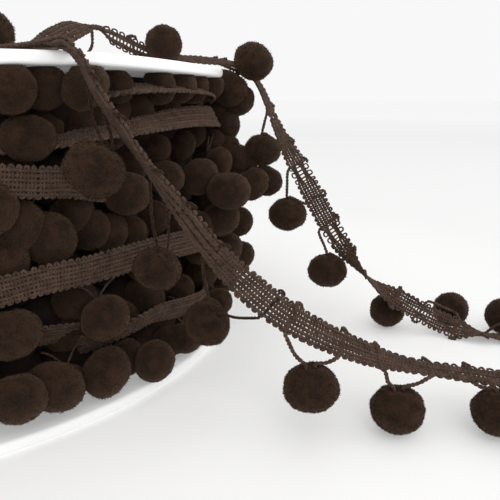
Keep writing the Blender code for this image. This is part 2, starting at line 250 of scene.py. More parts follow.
def plied(batch, path, radius, twist, sides=4):
    """A cord of two twisted plies along a path. Twist is the length of one full turn."""
    path = resample(np.asarray(path, float), twist / STEPS_A_TWIST)
    side, other = carried_frame(path)
    turn = 2 * np.pi * np.arange(len(path)) / STEPS_A_TWIST
    for ply in (0.0, np.pi):
        a = (turn + ply)[:, None]
        off = np.cos(a) * side + np.sin(a) * other
        tube(batch, path + off * radius * PLY_APART, radius * PLY_RADIUS, sides)


def distances(path):
    """How far along it each point of a path lies."""
    gaps = np.linalg.norm(np.diff(path, axis=0), axis=1)
    return np.concatenate([[0], np.cumsum(gaps)])


def sampled(want, s, rows):
    """Rows of x, y and z at the wanted distances."""
    return np.stack([np.interp(want, s, rows[:, i]) for i in range(3)], axis=1)


def resample(path, step):
    """The path again, with points about that far apart."""
    s = distances(path)
    return sampled(np.linspace(0, s[-1], max(int(round(s[-1] / step)), 2) + 1), s, path)


def catmull(rows, per):
    """A smooth curve through rows of numbers, with per steps between rows."""
    rows = np.asarray(rows, float)
    out = []
    for k in range(len(rows) - 1):
        a, b = rows[max(k - 1, 0)], rows[k]
        c, d = rows[k + 1], rows[min(k + 2, len(rows) - 1)]
        t = (np.arange(per) / per)[:, None]
        out.append(0.5 * (2 * b + (c - a) * t + (2 * a - 5 * b + 4 * c - d) * t**2
                          + (3 * b - a - 3 * c + d) * t**3))
    out.append(rows[-1:])
    return np.concatenate(out)


class Strip:
    """A long narrow strip: its middle, its way to the pompom edge, and its face, by distance."""

    def __init__(self, fine):
        """Made from rows of a middle point and a rough way to the pompom edge."""
        s = distances(fine[:, :3])
        self.length = s[-1]
        self.s = np.arange(0, self.length + STRIP_STEP / 2, STRIP_STEP)
        self.middle = sampled(self.s, s, fine[:, :3])
        drop = sampled(self.s, s, unit(fine[:, 3:6]))
        along = unit(np.gradient(self.middle, axis=0))
        drop = unit(drop - along * (drop * along).sum(axis=1)[:, None])
        self.drop, self.face = drop, np.cross(along, drop)

    def at(self, s, across=0.0, out=0.0):
        """Points at distance s, across towards the pompom edge and out of the face."""
        s = np.atleast_1d(np.asarray(s, float))
        across = np.broadcast_to(across, s.shape)[:, None]
        out = np.broadcast_to(out, s.shape)[:, None]
        middle, drop, face = (sampled(s, self.s, f) for f in (self.middle, self.drop, self.face))
        return middle + drop * across + face * out


# ---------------------------------------------------------------- materials


def new_material(name):
    """A new material, its node tree and its main shader."""
    made = bpy.data.materials.new(name)
    made.use_nodes = True
    tree = made.node_tree
    return made, tree, tree.nodes["Principled BSDF"]


def noise_node(tree, coords, scale, detail, rough):
    n = tree.nodes.new("ShaderNodeTexNoise")
    n.inputs["Scale"].default_value = scale
    n.inputs["Detail"].default_value = detail
    n.inputs["Roughness"].default_value = rough
    tree.links.new(coords, n.inputs["Vector"])
    return n


def math_node(tree, operation, source, value):
    """One sum on a source and a number."""
    n = tree.nodes.new("ShaderNodeMath")
    n.operation = operation
    n.inputs[1].default_value = value
    tree.links.new(source, n.inputs[0])
    return n


def ramp_node(tree, source, stops):
    """Colours by value, from (value, colour) stops."""
    ramp = tree.nodes.new("ShaderNodeValToRGB")
    while len(ramp.color_ramp.elements) < len(stops):
        ramp.color_ramp.elements.new(0.5)
    for element, (at, colour) in zip(ramp.color_ramp.elements, stops):
        element.position = at
        element.color = (*colour, 1.0)
    tree.links.new(source, ramp.inputs["Fac"])
    return ramp


def bump_node(tree, shader, source, strength, distance):
    bump = tree.nodes.new("ShaderNodeBump")
    bump.inputs["Strength"].default_value = strength
    bump.inputs["Distance"].default_value = distance
    tree.links.new(source, bump.inputs["Height"])
    tree.links.new(bump.outputs["Normal"], shader.inputs["Normal"])


def fibre(name, dark, light, scale, bump, sheen, sheen_tint, rough=0.9):
    """Yarn or pile, mottled between a dark and a light colour."""
    made, tree, shader = new_material(name)
    coords = tree.nodes.new("ShaderNodeTexCoord").outputs["Object"]
    broad = noise_node(tree, coords, scale * 0.16, 2.0, 0.5)
    fine = noise_node(tree, coords, scale, 4.0, 0.65)
    share = math_node(tree, "MULTIPLY", broad.outputs["Fac"], 0.45)
    mix = math_node(tree, "MULTIPLY_ADD", fine.outputs["Fac"], 0.55)
    tree.links.new(share.outputs[0], mix.inputs[2])
    ramp = ramp_node(tree, mix.outputs[0], ((0.38, dark), (0.63, light)))
    tree.links.new(ramp.outputs["Color"], shader.inputs["Base Color"])
    bump_node(tree, shader, fine.outputs["Fac"], bump, 0.0004)
    shader.inputs["Roughness"].default_value = rough
    shader.inputs["Specular IOR Level"].default_value = 0.15
    shader.inputs["Sheen Weight"].default_value = sheen
    shader.inputs["Sheen Roughness"].default_value = 0.45
    shader.inputs["Sheen Tint"].default_value = (*sheen_tint, 1.0)
    return made


PILE = fibre(
    "pile", dark=(0.0072, 0.0034, 0.0018), light=(0.031, 0.0148, 0.0074), scale=2600, bump=0.8,
    sheen=0.28, sheen_tint=(0.44, 0.27, 0.17),
)
YARN = fibre(
    "yarn", dark=(0.034, 0.020, 0.014), light=(0.094, 0.058, 0.041), scale=3200, bump=0.7,
    sheen=0.15, sheen_tint=(0.65, 0.45, 0.35), rough=0.75,
)
CORD = fibre(
    "cord", dark=(0.038, 0.022, 0.015), light=(0.084, 0.052, 0.037), scale=3200, bump=0.5,
    sheen=0.1, sheen_tint=(0.6, 0.4, 0.3), rough=0.8,
)
# The inside of the winding takes a darker copy of the pile without sheen, which is painted shade.
PILE_PAINTED_SHADE = fibre(
    "core_painted_shade", dark=(0.006, 0.0035, 0.003), light=(0.014, 0.008, 0.006), scale=900, bump=1.0,
    sheen=0.0, sheen_tint=(0.4, 0.3, 0.25),
)


def plastic(name, shade, glow):
    """White moulded plastic. Its glow is painted light, which brightens the plastic and lifts the
    shade on it; it stands in for the light that the plastic lets through.
    """
    made, tree, shader = new_material(name)
    coords = tree.nodes.new("ShaderNodeTexCoord").outputs["Object"]
    grain = noise_node(tree, coords, 900, 3.0, 0.6)
    cloud = noise_node(tree, coords, 22, 3.0, 0.5)
    stops = ((0.3, (shade - 0.02,) * 3), (0.7, (shade + 0.02,) * 3))
    ramp = ramp_node(tree, cloud.outputs["Fac"], stops)
    tree.links.new(ramp.outputs["Color"], shader.inputs["Base Color"])
    bump_node(tree, shader, grain.outputs["Fac"], 0.08, 0.0002)
    rough = ramp_node(tree, cloud.outputs["Fac"], ((0.2, (0.34,) * 3), (0.8, (0.46,) * 3)))
    tree.links.new(rough.outputs["Color"], shader.inputs["Roughness"])
    # painted light: an even glow that lifts the shade on the plastic
    shader.inputs["Emission Color"].default_value = (1.0, 1.0, 0.99, 1.0)
    shader.inputs["Emission Strength"].default_value = glow
    return made


# the upper flange's plastic, with a little painted light in its glow
PLASTIC = plastic("reel_plastic", shade=0.86, glow=0.12)
# The lower flange's copy of the plastic is darker and glows more, which is painted light: it lifts
# the shade that the pompoms cast on it.
PLASTIC_SHADE_LIFTED = plastic("reel_plastic_low_shade_lifted", shade=0.56, glow=0.30)


# ---------------------------------------------------------------- reel

RIM_RISE = 0.75
RIM_RISE_AZIMUTH = -39
FLANGE_SIDES = 220
ROUNDING = 0.9
LIP = 0.12


def rim_rise(points):
    """How far the upper flange is warped up at each point: a little, at one side of its rim."""
    reach = (np.linalg.norm(points[:, :2], axis=1) / FLANGE_RADIUS).clip(0, 1)
    azimuth = np.arctan2(points[:, 1], points[:, 0])
    side = np.cos(azimuth - math.radians(RIM_RISE_AZIMUTH)).clip(0, 1)
    return RIM_RISE * reach**6 * side**30


def flange(name, node, low, finish, warped=False):
    """A moulded disc with rounded rims and a slightly raised lip, turned about Z.

    Its underside is at height low. One side of its rim can be warped up.
    """
    r, t, sides = FLANGE_RADIUS, FLANGE_THICK, FLANGE_SIDES
    # half of the section: the underside, the rounded rim, and the top with its lip
    arc = [(r - ROUNDING + ROUNDING * math.sin(a), ROUNDING - ROUNDING * math.cos(a))
           for a in np.linspace(0, math.pi / 2, 6)]
    rows = np.array([
        (0.0, 0.0), (24.0, 0.0), (60.0, 0.0), (r - 4.0, 0.0),
        *arc,
        *((x, t - z) for x, z in reversed(arc)),
        (r - 3.4, t), (r - 4.2, t - LIP), (60.0, t - LIP), (24.0, t - LIP), (0.0, t - LIP),
    ])
    turn = 2 * np.pi * np.arange(sides) / sides
    points = np.stack([
        rows[None, :, 0] * np.cos(turn)[:, None],
        rows[None, :, 0] * np.sin(turn)[:, None],
        np.broadcast_to(rows[None, :, 1] + low, (sides, len(rows))),
    ], axis=-1).reshape(-1, 3)
    if warped:
        points[:, 2] += rim_rise(points)
    m = len(rows)
    k = np.arange(sides)[:, None] * m
    after = ((np.arange(sides) + 1) % sides)[:, None] * m
    i = np.arange(m - 1)[None, :]
    faces = np.stack([k + i, after + i, after + i + 1, k + i + 1], axis=-1).reshape(-1, 4)
    batch = Batch()
    batch.add(points, faces)
    obj = batch.build(name, finish)
    clean = bmesh.new()
    clean.from_mesh(obj.data)
    bmesh.ops.remove_doubles(clean, verts=clean.verts, dist=1e-6)
    bmesh.ops.recalc_face_normals(clean, faces=clean.faces)
    clean.to_mesh(obj.data)
    clean.free()
    obj.data.set_sharp_from_angle(angle=math.radians(50))
    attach(obj, "root")
    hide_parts(node)
    return obj


# ---------------------------------------------------------------- pompoms

# A ball of radius 1: its plain radius, and its lumps, each with a height and a scale.
BALL = 0.965
LUMPS = ((0.050, 1.5), (0.035, 3.2), (0.022, 9.0))
# Its two cord holes: where they are near +Z, and their depth and width.
HOLES = ((-0.2, 0.0, 0.98), (0.2, 0.0, 0.98))
HOLE_DEPTH, HOLE_WIDTH = 0.16, 0.17
# Its fibres: how they lean, half their width, how deep they root, and their range of lengths.
FIBRE_LEAN, FIBRE_WIDTH, FIBRE_ROOT = 0.38, 0.019, 0.03
FIBRE_LENGTHS = (0.45, 1.25)
# The air left between a pressed pompom and each flange.
AIR_ABOVE, AIR_BELOW = 0.1, 0.15


def surface(d, seed):
    """How far out a lumpy ball reaches in each direction."""
    shift = Vector((seed * 3.7, seed * 1.3, 0.0))
    reach = np.full(len(d), BALL)
    for k, row in enumerate(d):
        for height, scale in LUMPS:
            reach[k] += height * noise.noise(Vector(row) * scale + shift)
    dents = np.zeros(len(d))
    for hole in HOLES:
        away = np.linalg.norm(d - np.array(hole), axis=1)
        dents += HOLE_DEPTH * np.exp(-((away / HOLE_WIDTH) ** 2))
    return reach - dents


def unit_pompom(seed, level, needles, pile):
    """A lumpy ball of radius 1, dimpled at +Z, and its pile of short fibres.

    Level is how finely the ball is divided, needles is the number of fibres, and pile is their
    length.
    """
    draw = np.random.default_rng(seed)
    ball = bmesh.new()
    bmesh.ops.create_icosphere(ball, subdivisions=level, radius=1.0)
    ball.verts.ensure_lookup_table()
    points = np.array([v.co[:] for v in ball.verts])
    faces = np.array([[v.index for v in f.verts] for f in ball.faces])
    ball.free()
    solid = points * surface(points, seed)[:, None]
    d = unit(draw.normal(size=(needles, 3)))
    base = d * (surface(d, seed) - FIBRE_ROOT)[:, None]
    lean = unit(d + draw.normal(size=(needles, 3)) * FIBRE_LEAN)
    long = pile * draw.uniform(*FIBRE_LENGTHS, size=(needles, 1))
    side = unit(np.cross(d, draw.normal(size=(needles, 3))))
    wide = FIBRE_WIDTH * draw.uniform(0.7, 1.3, size=(needles, 1))
    fuzz = np.stack([base - side * wide, base + side * wide, base + lean * long], axis=1)
    fuzz_faces = np.arange(3 * needles).reshape(-1, 3) + len(solid)
    return np.concatenate([solid, fuzz.reshape(-1, 3)]), np.concatenate([faces, fuzz_faces])


# The nearer to the camera, the finer the ball and the more fibres it has.
NEAREST = [unit_pompom(21 + k, level=4, needles=6500, pile=0.085) for k in range(4)]
LOOSER = [unit_pompom(26 + k, level=3, needles=2200, pile=0.09) for k in range(5)]
NEAR = [unit_pompom(31 + k, level=3, needles=1500, pile=0.09) for k in range(6)]
FAR = [unit_pompom(41 + k, level=2, needles=120, pile=0.12) for k in range(5)]
INSIDE = [unit_pompom(61 + k, level=2, needles=0, pile=0.0) for k in range(3)]


def put_pompom(batch, kinds, centre, wide, way, along=None, pressed=False):
    """One pompom of that width, with its two cord holes facing back along its way.

    Pressed pompoms are flattened where they meet a flange.
    """
    points, faces = kinds[int(rng.integers(len(kinds)))]
    z = -unit(way)
    if along is None:
        x = unit(np.cross(z, unit(rng.normal(size=3))))
    else:
        x = unit(along - z * np.dot(along, z))
    y = np.cross(z, x)
    turned = np.stack([x, y, z * POMPOM_FLAT])
    placed = np.asarray(centre) + (points * wide / 2) @ turned
    if pressed:
        ceiling = CEILING - AIR_ABOVE + rim_rise(placed)
        placed[:, 2] = placed[:, 2].clip(FLANGE_THICK + AIR_BELOW, ceiling)
    batch.add(placed, faces)


# ---------------------------------------------------------------- woven header

# Where the six warp cords run across the header, in close weave and in weave that slipped open.
COLUMNS = np.array((-2.35, -1.41, -0.47, 0.47, 1.41, 2.35))
BUNCHED = np.array((-1.55, -1.30, -1.05, 1.05, 1.30, 1.55))
WARP_RADIUS = 0.37
WARP_WAVER = 0.05
# The warp's over and under, two picks of the weft long.
WARP_WAVE, WAVE_TURNS = 0.08, 4.19
# What ribs add to that wave and to the radius, how far they pair up, and how far they stand out.
RIB_WAVE, RIB_RADIUS, RIB_PAIRING, RIB_LIFT = 0.09, 0.07, 0.22, 0.42
WEFT_RADIUS = 0.28
WEFT_LIFT = 0.3
# Picots start this far across. Their tips are longer at the upper edge, which is hand -1.
PICOT_ROOT = 2.45
PICOT_TIPS = {-1: 3.25, 1: 2.95}
PICOT_RADIUS = 0.33
# How unevenly the weft lies: along, across and out of the face. One pick in eleven also leaves a
# gap that is half as wide again.
UNEVEN = (0.06, 0.05, 0.03)
WIDER_EVERY, WIDER_GAP = 11, 0.5


def opened(s, open_at):
    """0 where the weave is close, and 1 in the middle of each open stretch."""
    out = np.zeros(np.shape(s))
    for at, reach, amount in open_at:
        out = np.maximum(out, amount * np.exp(-(((s - at) / reach) ** 4)))
    return out


def ribbed(s, ribs):
    """1 along the stretch whose warp cords stand out as ribs, and 0 elsewhere."""
    if ribs is None:
        return np.zeros(np.shape(s))
    low, high = ribs
    return np.clip(np.minimum(np.asarray(s) - low, high - np.asarray(s)) / 4.0, 0.0, 1.0)


def weave(warp, weft, strip, coarse=False, open_at=(), ribs=None):
    """Six warp cords and one zigzag weft, whose turns stand out as picots at both edges.

    In the open stretches the warp cords bunch up, the weft spreads into rungs and the picots
    are thin rings. In the ribbed stretch the warp cords pair up and stand out on the side that
    shows, which is the back of the face. Coarse weave is for the sides that face away.
    """
    sides, pitch, step, fatter = (3, 1.7, 2.2, 1.25) if coarse else (4, 0.75, 0.7, 1.0)
    picks = slice(None, None, 2) if coarse else slice(None)
    s = np.arange(0.0, strip.length, step)
    slack, rib = opened(s, open_at), ribbed(s, ribs)
    for g, (close, bunched) in enumerate(zip(COLUMNS, BUNCHED)):
        pair = (RIB_PAIRING, -RIB_PAIRING)[g % 2] * rib
        waver = WARP_WAVER * np.sin(s * 0.9 + g * 2.1)
        across = close * (1 - slack) + bunched * slack + pair + waver
        wave = (WARP_WAVE + RIB_WAVE * rib) * np.sin(s * WAVE_TURNS + g * np.pi) * (not coarse)
        radius = WARP_RADIUS - 0.10 * slack + RIB_RADIUS * rib
        tube(warp, strip.at(s, across, wave - RIB_LIFT * rib), radius, sides)
    rows, base, k = [], 0.5, 0
    while base < strip.length - 1.5:
        slack = float(opened(base, open_at))
        uneven = WIDER_GAP if k % WIDER_EVERY == 5 else 0.0
        gap = pitch * (1 + 0.75 * slack + uneven)
        hand = 1 if k % 2 else -1
        across = (COLUMNS * (1 - slack) + BUNCHED * slack)[::hand][picks]
        lift = WEFT_LIFT * (-1.0) ** np.arange(6)[picks]
        rows += [(base, c, up * hand, WEFT_RADIUS) for c, up in zip(across, lift)]
        tip = PICOT_TIPS[hand] - 0.1 * slack - 0.3 * float(ribbed(base, ribs))
        wide = 1.0 + 0.25 * slack
        for turn in (-0.5, -0.25, 0.0, 0.25, 0.5):
            way = math.pi * turn
            rows.append((
                base + gap * (0.5 + 0.55 * wide * math.sin(way)),
                hand * (PICOT_ROOT + (tip - PICOT_ROOT) * math.cos(way) ** 0.7),
                -0.1 * math.sin(way),
                PICOT_RADIUS - 0.07 * slack,
            ))
        base += gap
        k += 1
    rows = np.array(rows)
    rows[:, :3] += rng.normal(size=(len(rows), 3)) * UNEVEN
    tube(weft, strip.at(rows[:, 0], rows[:, 1], rows[:, 2]), rows[:, 3] * fatter, sides)


# ---------------------------------------------------------------- making the loose length

# The bight of a drop cord over the header's upper edge, and its way down across the header:
# distance along, across, and out of the face.
KNOB = (
    (-1.0, -3.0, 0.5), (-0.75, -3.6, 0.4), (0.0, -3.75, 0.0), (0.75, -3.65, -0.3),
    (0.9, -3.0, -0.5),
)
CROSSING = ((0.5, -1.2, 0.12), (0.2, 1.0, 0.12), (0.0, 2.8, 0.12))
# Where a leg ends, back from its pompom's middle, and how far before that it goes in, as shares of
# the pompom's width. It bends between the header's edge and a point close to the pompom.
LEG_END, LEG_ENTRY, LEG_BEND = 0.34, 0.1, 0.13
LOW_SHARE, NEAR_SHARE = 0.42, 0.58
# The drop that hangs by itself, from its root.
LONE_DROP = ((-0.6, 0.0, 0.6), (-0.4, -0.4, -2.0), (-0.6, -1.0, -4.8), (-2.0, -1.2, -6.6))


def within(value, limits):
    """Whether a value lies between two limits."""
    low, high = limits
    return low < value < high


def loose_length():
    """The loose length: its header, its drop cords and its pompoms."""
    strip = Strip(catmull(ROUTE, 24))
    warp, weft, cord, shade = Batch(), Batch(), Batch(), Batch()
    nearest, others = Batch(), Batch()
    weave(warp, weft, strip, open_at=OPEN_WEAVE, ribs=RIBBED)
    for stop, spread, x, y, z, wide, *way in LOOSE:
        centre, way = np.array((x, y, z)), unit(way)
        close, shaded = within(stop, CLOSE_TO_CAMERA), within(stop, SHADED_LEGS)
        along = strip.at(stop + 4)[0] - strip.at(stop - 4)[0]
        batch, kinds = (nearest, NEAREST) if close else (others, LOOSER)
        put_pompom(batch, kinds, centre, wide, way, along)
        side = unit(along - way * np.dot(along, way))
        face = -1.0 if stop < FACE_TURNS_AT else 1.0
        holes = 0.09 if close else 0.03
        bow = 0.0 if stop > STRAIGHT_LEGS_FROM else 0.5
        # each leg: over the upper edge, down across the header, and with a bend into its hole
        for hand in (-1, 1):
            root = stop + hand * spread
            top = [strip.at(root + 0.6 + ds, a, out * face)[0] for ds, a, out in KNOB][::hand]
            cross = [strip.at(root + ds, a, out * face)[0] for ds, a, out in CROSSING]
            low = strip.at(root - hand * 0.9, 3.9, 0.2 * face)[0]
            end = centre - way * wide * LEG_END + side * hand * wide * holes
            near = end - way * wide * LEG_BEND
            bend = low * LOW_SHARE + near * NEAR_SHARE + (way + side * hand) * bow
            path = catmull([*top, *cross, low, bend, end - way * wide * LEG_ENTRY, end], 5)
            # in the shaded stretch the cord takes the pile colour: painted shade
            if shaded:
                plied(shade, path, SHADED_LEG_RADIUS, LEG_TWIST)
            else:
                plied(cord, path, LEG_RADIUS, LEG_TWIST)
    root = strip.at(LONE_DROP_AT, 2.9, 0.2)[0]
    tail = [root + np.array(d) for d in LONE_DROP]
    plied(cord, catmull(tail, 6), LONE_LEG_RADIUS, LONE_LEG_TWIST)
    header = warp.build("header_warp", YARN)
    picots = weft.build("header_weft", YARN)
    drops = cord.build("drop_cord", CORD)
    shaded = shade.build("drop_cord_painted_shade", PILE)
    front = nearest.build("loose_pompoms_near", PILE)
    rest = others.build("loose_pompoms", PILE)
    for obj in (header, picots, drops, shaded, front, rest):
        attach(obj, "root")
    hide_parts("header_loose")
    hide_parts("fringe_front", "fringe_floor")
    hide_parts(*(f"fringe_{run}" for run in ("back", "top", "loop", "rise", "rim")))
    # 10 mm is the least width that a sheet takes; the area is of the true width, 6.6 mm
    return [header, picots, drops, shaded, front, rest]


# ---------------------------------------------------------------- the wound turns

# Pompoms on the side that the loose length hangs down: azimuth, height, radius, width. Every
# third one has drop cords, except past LEGS_UNTIL, where they would hang free.
NEAR_POMPOMS = (
    (-16.8, 8.8, 93.0, 9.6), (-11.5, 9.2, 91.5, 10.0), (-42.5, 63.6, 85.5, 10.8),
    (-36.5, 65.0, 85.5, 10.4), (-33.8, 66.2, 86.0, 10.0), (-47.5, 55.0, 86.0, 10.8),
    (-49.0, 71.8, 96.2, 10.8), (-44.1, 72.0, 93.2, 10.8), (-40.5, 72.0, 98.7, 10.8),
    (-29.7, 67.4, 87.0, 10.4), (-31.6, 72.6, 91.2, 9.4), (-26.3, 67.0, 90.0, 9.6),
    (-18.1, 67.2, 90.0, 9.8), (-8.5, 68.0, 91.0, 10.3), (-24.2, 72.6, 94.7, 9.6),
    (-12.0, 72.6, 94.7, 9.6), (-18.6, 72.6, 95.2, 9.6), (-1.0, 71.6, 92.2, 10.0),
    (3.8, 69.0, 94.0, 10.4), (2.2, 68.9, 104.6, 10.8), (-4.0, 73.0, 96.2, 9.8),
    (2.0, 54.9, 100.6, 9.4), (2.6, 66.2, 97.5, 9.2), (1.6, 48.0, 102.6, 9.6),
    (1.0, 51.0, 106.6, 9.0), (-46.5, 62.2, 93.0, 11.6), (-32.1, 48.3, 94.0, 11.5),
    (-36.0, 58.5, 88.0, 10.6), (-30.7, 61.9, 87.0, 9.4), (-26.3, 54.3, 88.0, 9.6),
    (-19.4, 57.0, 88.0, 9.4), (-20.4, 49.7, 92.0, 10.4), (-10.5, 56.8, 90.0, 9.6),
    (-3.5, 59.6, 91.0, 9.6), (-14.0, 48.9, 97.0, 11.6), (1.0, 56.4, 96.0, 9.8),
    (2.4, 61.7, 100.9, 9.8), (3.8, 36.5, 94.6, 9.6), (3.2, 25.8, 96.0, 9.4),
    (-5.0, 51.0, 99.0, 10.0), (-15.0, 45.6, 106.0, 12.4), (-0.6, 43.8, 108.5, 11.8),
    (2.6, 44.0, 113.0, 11.6), (-52.3, 49.6, 96.0, 11.4), (0.5, 51.6, 104.5, 9.2),
    (-48.7, 44.9, 93.0, 11.6), (-44.9, 41.3, 93.0, 12.0), (-39.3, 44.7, 88.0, 11.7),
    (-37.2, 40.8, 90.0, 10.2), (-33.5, 39.0, 90.0, 10.0), (-28.6, 37.4, 89.0, 9.6),
    (-21.5, 39.3, 89.0, 9.6), (-14.8, 36.3, 90.0, 10.4), (-12.3, 34.0, 95.0, 11.0),
    (-9.6, 36.0, 101.0, 12.0), (0.3, 20.4, 105.0, 10.2), (0.6, 31.3, 104.5, 10.0),
    (-5.0, 25.0, 101.0, 11.2), (-11.5, 27.8, 96.0, 10.5), (-27.2, 29.5, 92.0, 10.8),
    (-51.1, 37.9, 93.0, 11.4), (-27.4, 20.7, 91.0, 11.4), (-15.2, 16.3, 91.0, 10.6),
    (-7.2, 18.0, 94.0, 10.4), (2.7, 11.1, 99.0, 10.4), (-40.2, 24.9, 89.0, 11.2),
    (-39.3, 22.4, 98.0, 11.8), (-32.0, 17.2, 89.0, 11.0), (-51.3, 23.7, 96.0, 12.5),
    (-22.8, 8.0, 98.5, 10.2), (-23.0, 12.3, 91.0, 10.0), (-32.5, 8.6, 101.0, 10.6),
    (-13.0, 8.5, 98.0, 10.4), (-41.5, 17.3, 87.0, 11.0), (-24.4, 9.0, 88.0, 10.0),
    (-6.9, 8.7, 98.5, 10.4), (-5.5, 10.0, 93.0, 10.4), (-39.4, 9.3, 97.5, 12.6),
    (-33.5, 8.0, 93.0, 10.2), (-46.9, 10.3, 97.5, 13.0), (-51.8, 11.0, 99.0, 12.4),
    (-43.7, 7.9, 93.0, 9.6), (-24.2, 7.7, 95.0, 9.4),
)
NEAR_SIDE = (-57.0, 5.0)
LEGS_UNTIL = -4.0
# The pompoms up to this many degrees beyond the near side are still fine ones.
FINE_MARGIN = 6.0
UPPER_PIECE_ABOVE = 40.0
# The wound pompoms' drop cords: radius, length of one twist, half the spread of their roots, and
# how far above the pompom's middle they start.
WOUND_LEG_RADIUS, WOUND_LEG_TWIST, WOUND_LEG_SPREAD, WOUND_LEG_RISE = 0.30, 2.2, 5.0, 8.2

# The solid roll's rows of pompoms: height, count, how far the row tips, and the azimuth that lies
# a quarter turn before its highest point.
POMPOM_ROWS = (
    (68.3, 66, 0.6, 40),
    (58.0, 60, 2.2, 150),
    (46.0, 64, 2.5, 20),
    (34.5, 62, 2.2, 250),
    (21.5, 64, 2.4, 100),
    (9.6, 66, 0.7, 200),
)
ROW_RADIUS = 95.6
ROW_CLEARANCE = 6.9  # between a row pompom's middle and each flange
ROW_WIDE, ROW_WIDE_SPREAD = 11.6, 0.5
# How far a pompom strays from its place: along the row as a share of the spacing, in height, and
# inwards. Every second one sits deeper as well.
STRAY_ALONG, STRAY_HEIGHT, STRAY_IN, SECOND_DEEPER = 0.22, 1.6, (-1.0, 1.6), 3.6
# A second layer behind them, which closes the gaps and is coloured darker than the pile as painted
# shade: heights, count, radius and width.
INSIDE_HEIGHTS = (10.0, 20.5, 31.0, 41.5, 52.0, 62.5, 68.2)
INSIDE_COUNT, INSIDE_RADIUS, INSIDE_WIDE = 44, 84.5, 13.5
# The inside of the winding, darkened by painted shade: radius and height of its rings.
DRUM_RINGS = ((82.0, 3.2), (84.0, 5.0), (84.0, 73.0), (82.0, 75.0))
DRUM_SIDES = 96

# Turns of header that show: azimuth, height, radius, and how far its lower edge turns out.
NEAR_BANDS = (
    (
        (-35.5, 71.0, 88.0, 0.9), (-32.5, 71.7, 94.0, 0.95), (-27.2, 72.0, 97.0, 0.96),
        (-20.2, 72.0, 97.5, 0.95), (-10.0, 71.5, 97.0, 0.9), (2.0, 69.5, 93.0, 0.8),
    ),
    (
        (-54.0, 60.0, 88.0, 0.9), (-42.9, 61.2, 93.0, 0.95), (-38.4, 62.2, 94.0, 0.95),
        (-33.8, 62.8, 95.0, 0.93), (-27.3, 64.1, 96.5, 0.85), (-18.8, 65.0, 97.5, 0.7),
        (-8.0, 64.6, 98.0, 0.5), (3.0, 63.6, 97.0, 0.4), (14.0, 62.5, 94.0, 0.2),
    ),
    (
        (-70.0, 55.5, 96.0, 0.0), (-54.3, 54.9, 97.0, 0.0), (-46.8, 53.6, 97.0, 0.0),
        (-42.4, 52.8, 96.0, 0.0), (-37.0, 50.6, 93.0, 0.1), (-30.0, 48.5, 90.0, 0.1),
    ),
    (
        (-72.0, 32.5, 97.0, -0.1), (-55.7, 33.0, 98.0, -0.1), (-47.9, 34.2, 98.5, -0.1),
        (-42.6, 34.2, 98.5, -0.1), (-36.4, 34.4, 98.5, 0.0), (-28.4, 34.2, 98.0, 0.0),
        (-18.0, 32.4, 98.0, 0.1), (-9.0, 29.0, 97.0, 0.1), (2.0, 26.0, 97.0, 0.1),
        (14.0, 25.0, 94.0, 0.1),
    ),
    (
        (-41.0, 14.0, 90.0, -0.5), (-37.0, 16.0, 94.0, -0.55), (-33.2, 17.6, 97.0, -0.55),
        (-29.3, 18.2, 97.5, -0.5), (-22.8, 16.4, 98.0, -0.4), (-14.0, 13.6, 97.0, -0.2),
        (-4.0, 12.8, 95.0, 0.0), (8.0, 12.5, 92.0, 0.0),
    ),
    (
        (-64.0, 20.6, 89.0, -0.2), (-55.4, 20.6, 91.0, -0.3), (-49.8, 20.2, 92.0, -0.45),
        (-46.0, 19.8, 92.0, -0.55), (-41.9, 18.4, 91.0, -0.6), (-37.0, 15.8, 89.0, -0.6),
    ),
)
# Turns on the other sides: height, how far they tip and from which azimuth, and radius.
FAR_BANDS = (
    (62.5, 3.4, 105, 97.4), (52.0, 2.6, 20, 96.8), (30.5, 3.0, 50, 98.2), (15.5, 2.8, 35, 96.6),
)


def band_strip(rows):
    """A strip of header from rows of azimuth, height, radius and turn-out."""
    fine = catmull(rows, 14)
    a = np.radians(fine[:, 0])
    away = np.stack([np.cos(a), np.sin(a), np.zeros(len(a))], axis=1)
    middle = away * fine[:, 2:3]
    middle[:, 2] = fine[:, 1]
    lean = fine[:, 3:4]
    drop = away * lean - UP * np.sqrt(np.maximum(1 - lean**2, 0.05))
    return Strip(np.concatenate([middle, drop], axis=1))


def far_pompoms():
    """Angle, height and radius of every pompom in the solid roll's own rows."""
    draw = random.Random(7)
    low, high = FLANGE_THICK + ROW_CLEARANCE, CEILING - ROW_CLEARANCE
    found = []
    for row, (height, count, tip, tip_azimuth) in enumerate(POMPOM_ROWS):
        for k in range(count):
            place = k + 0.5 * (row % 2) + draw.uniform(-STRAY_ALONG, STRAY_ALONG)
            angle = 2 * math.pi * place / count
            z = height + tip * math.sin(angle - math.radians(tip_azimuth))
            z += draw.uniform(-STRAY_HEIGHT, STRAY_HEIGHT)
            deep = SECOND_DEEPER * (k % 2) + draw.uniform(*STRAY_IN)
            found.append((angle, min(max(z, low), high), ROW_RADIUS - deep))
    return found


def outward(angle):
    """The way out from the reel's axis, for an angle in radians."""
    return np.array((math.cos(angle), math.sin(angle), 0.0))


def hanging(out):
    """A wound pompom's way: down and a little out, with a lean drawn at random."""
    return unit(out * 0.5 - UP * 0.7 + rng.normal(size=3) * 0.45)


def wound_legs(legs, out, radius, z, top):
    """The two drop cords from the turn above down to a wound pompom's top."""
    side = np.array((-out[1], out[0], 0.0))
    for hand in (-1, 1):
        root = out * (radius - 2.0) + side * hand * WOUND_LEG_SPREAD + UP * (z + WOUND_LEG_RISE)
        bow = (root + top) / 2 + UP * 0.8
        if root[2] < CEILING - 0.8:
            path = catmull([root, bow, top], 5)
            plied(legs, path, WOUND_LEG_RADIUS, WOUND_LEG_TWIST, sides=3)


